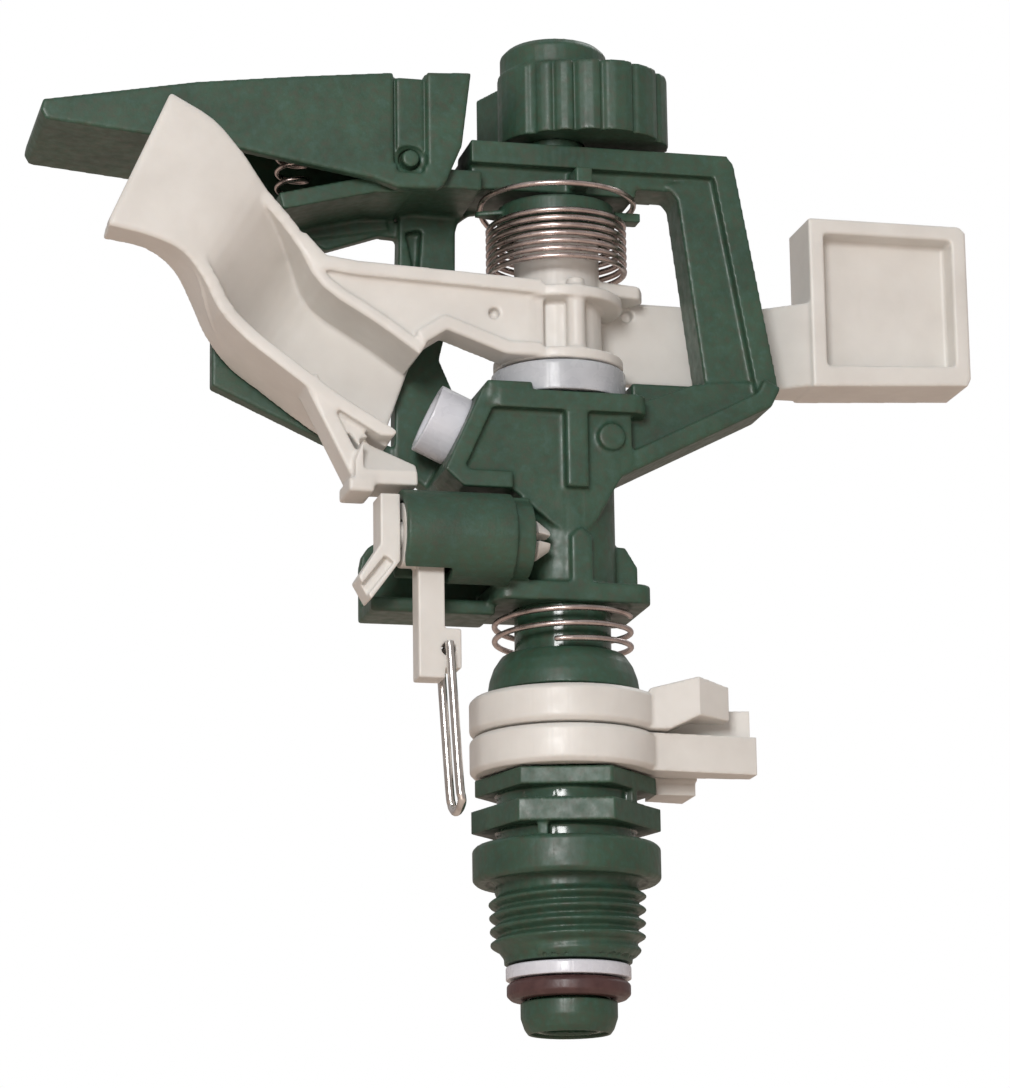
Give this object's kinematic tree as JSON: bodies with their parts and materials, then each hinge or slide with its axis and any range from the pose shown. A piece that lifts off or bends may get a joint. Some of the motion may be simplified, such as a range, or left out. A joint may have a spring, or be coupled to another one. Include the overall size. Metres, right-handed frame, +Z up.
{
  "type": "impact sprinkler",
  "caption": "Plastic impact sprinkler head on a threaded bearing nipple: sprung spoon arm, deflector flap with cam knob, trip lever and two friction collars that set the arc.",
  "frame": {"origin": "on the vertical axis of the inlet thread, at the underside of the nipple's round flange", "axes": "+Z up along the riser, the jet leaves towards -X, the counterweight is at +X, -Y is the side with the trip barrel"},
  "size_m": [0.1329, 0.0315, 0.1382],
  "materials": {
    "green_plastic": "satin moulded",
    "cream_plastic": "satin moulded",
    "white_nylon": "glossy moulded",
    "dark_rubber": "matte",
    "spring_wire": "drawn wire",
    "nickel_wire": "bright drawn wire"
  },
  "bodies": {
    "bearing": {"bearing_nipple": "green_plastic", "bearing_cap": "green_plastic", "bearing_spring": "spring_wire"},
    "upper_collar": {"upper_collar": "cream_plastic"},
    "lower_collar": {"lower_collar": "cream_plastic"},
    "washers": {"thrust_washer": "white_nylon", "rubber_seal": "dark_rubber"},
    "head": {"body_frame": "green_plastic", "riser_stem": "green_plastic", "stem_end_sleeve": "green_plastic", "nozzle": "white_nylon", "flow_vane": "green_plastic", "fulcrum_pin": "nickel_wire", "arm_washer": "white_nylon", "arm_spring": "spring_wire", "spring_anchor": "green_plastic", "trip_spring": "spring_wire", "flap_spring": "spring_wire"},
    "arm": {"arm": "cream_plastic"},
    "trip_lever": {"trip_lever": "cream_plastic"},
    "trip_hammer": {"trip_hammer": "cream_plastic"},
    "trip_wire": {"trip_wire": "nickel_wire"},
    "cam_knob": {"cam_knob": "green_plastic"},
    "deflector_flap": {"deflector_flap": "green_plastic"}
  },
  "joints": [
    {"name": "head_press", "type": "slide", "parent": "bearing", "child": "washers", "axis": [0, 0, 1], "range_m": [-0.003, 0], "stiffness_N_per_m": 2000, "springref_m": 0.005, "deforming": ["bearing_spring"]},
    {"name": "head_turn", "type": "hinge", "parent": "washers", "child": "head", "pos_m": [0, 0, 0], "axis": [0, 0, 1], "range_deg": [-135, 75]},
    {"name": "upper_collar_turn", "type": "hinge", "parent": "bearing", "child": "upper_collar", "pos_m": [0, 0, 0.0226], "axis": [0, 0, 1], "range_deg": [-30, 30]},
    {"name": "lower_collar_turn", "type": "hinge", "parent": "bearing", "child": "lower_collar", "pos_m": [0, 0, 0.0172], "axis": [0, 0, 1], "range_deg": [-30, 30]},
    {"name": "arm_swing", "type": "hinge", "parent": "head", "child": "arm", "pos_m": [0, 0, 0.0711], "axis": [0, 0, 1], "range_deg": [0, 100], "stiffness_Nm_per_rad": 0.02, "springref_deg": -28.65},
    {"name": "trip_lever_tilt", "type": "hinge", "parent": "head", "child": "trip_lever", "pos_m": [-0.021, -0.009, 0.045], "axis": [1, 0, 0], "range_deg": [-12, 12]},
    {"name": "trip_hammer_tilt", "type": "hinge", "parent": "head", "child": "trip_hammer", "pos_m": [-0.0254, -0.009, 0.045], "axis": [1, 0, 0], "range_deg": [-12, 12]},
    {"name": "trip_wire_swing", "type": "hinge", "parent": "trip_lever", "child": "trip_wire", "pos_m": [-0.0184, -0.009, 0.0294], "axis": [0, 1, 0], "range_deg": [0, 90]},
    {"name": "knob_turn", "type": "hinge", "parent": "head", "child": "cam_knob", "pos_m": [0, 0, 0.104], "axis": [0, 0, 1], "range_deg": [-40, 36]},
    {"name": "flap_tilt", "type": "hinge", "parent": "head", "child": "deflector_flap", "pos_m": [-0.0224, 0, 0.0984], "axis": [0, -1, 0], "range_deg": [-10, 9], "deforming": ["flap_spring"]}
  ],
  "couplings": [
    {"joint": "flap_tilt", "follows": "knob_turn", "ratio": 0.25},
    {"joint": "trip_hammer_tilt", "follows": "trip_lever_tilt", "ratio": -1}
  ]
}
